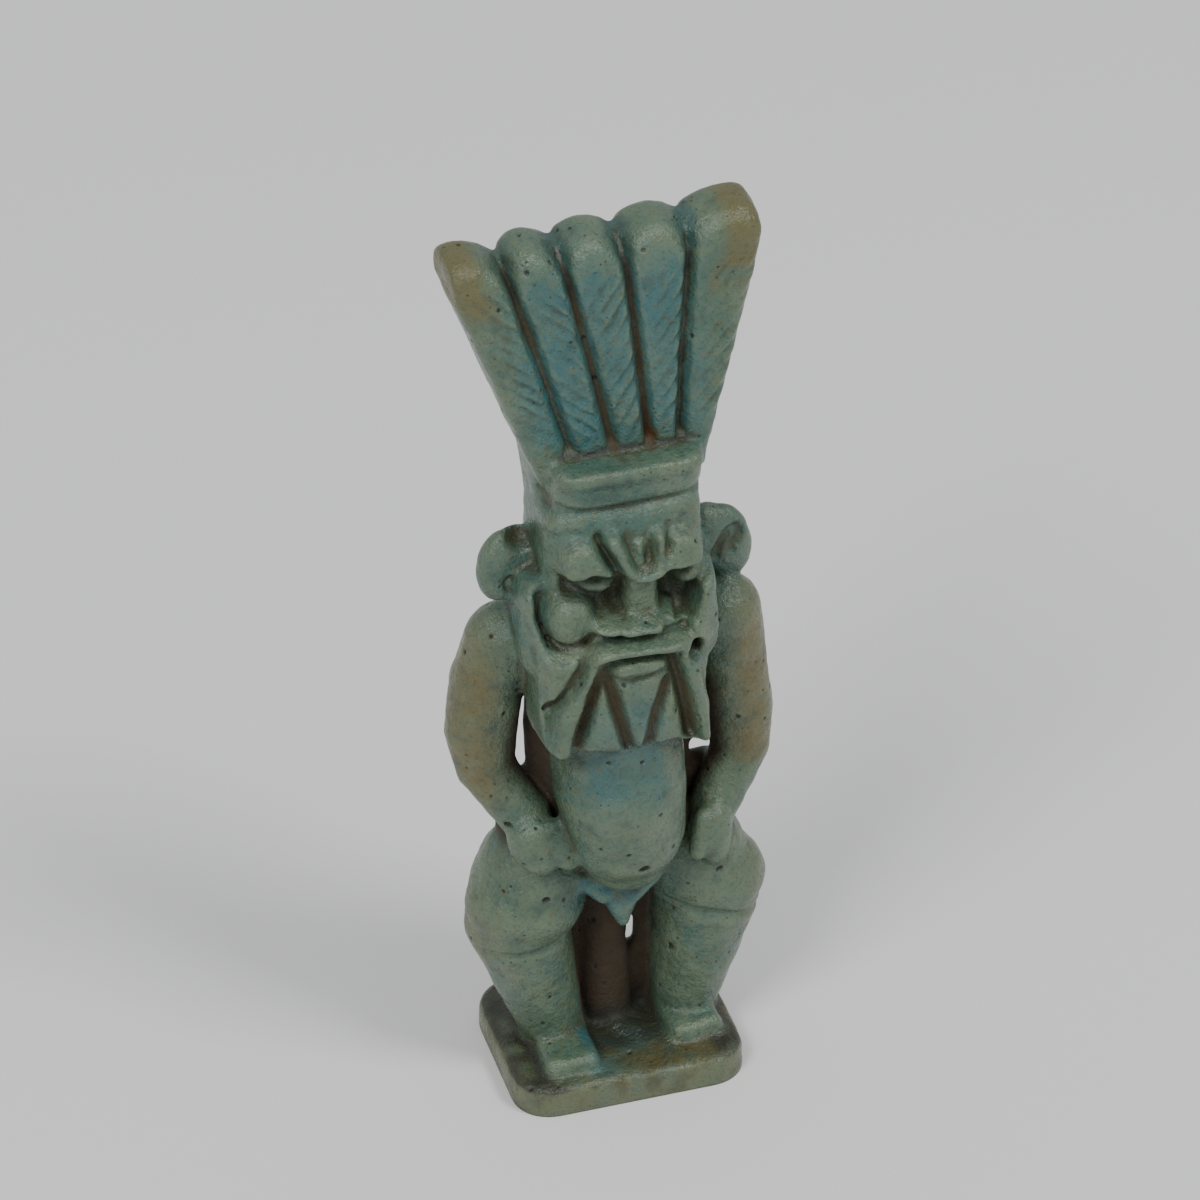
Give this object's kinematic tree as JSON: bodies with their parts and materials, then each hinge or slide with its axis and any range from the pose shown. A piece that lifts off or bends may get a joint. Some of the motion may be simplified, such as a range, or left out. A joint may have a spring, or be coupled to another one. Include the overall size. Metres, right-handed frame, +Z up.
{
  "type": "bes figurine",
  "caption": "Small faience figurine of the dwarf god Bes with a tall feather crown, fists on hips, standing on a low plinth; set dressing for a display or dig.",
  "frame": {"origin": "middle of the plinth's flat underside", "axes": "+Z up from the soles to the feather tips, -Y the way the figure faces, +X towards the figure's left hand"},
  "size_m": [0.0155, 0.0092, 0.046],
  "materials": {
    "faience": "worn satin"
  },
  "bodies": {
    "root": {"bes_figurine": "faience"}
  },
  "joints": []
}
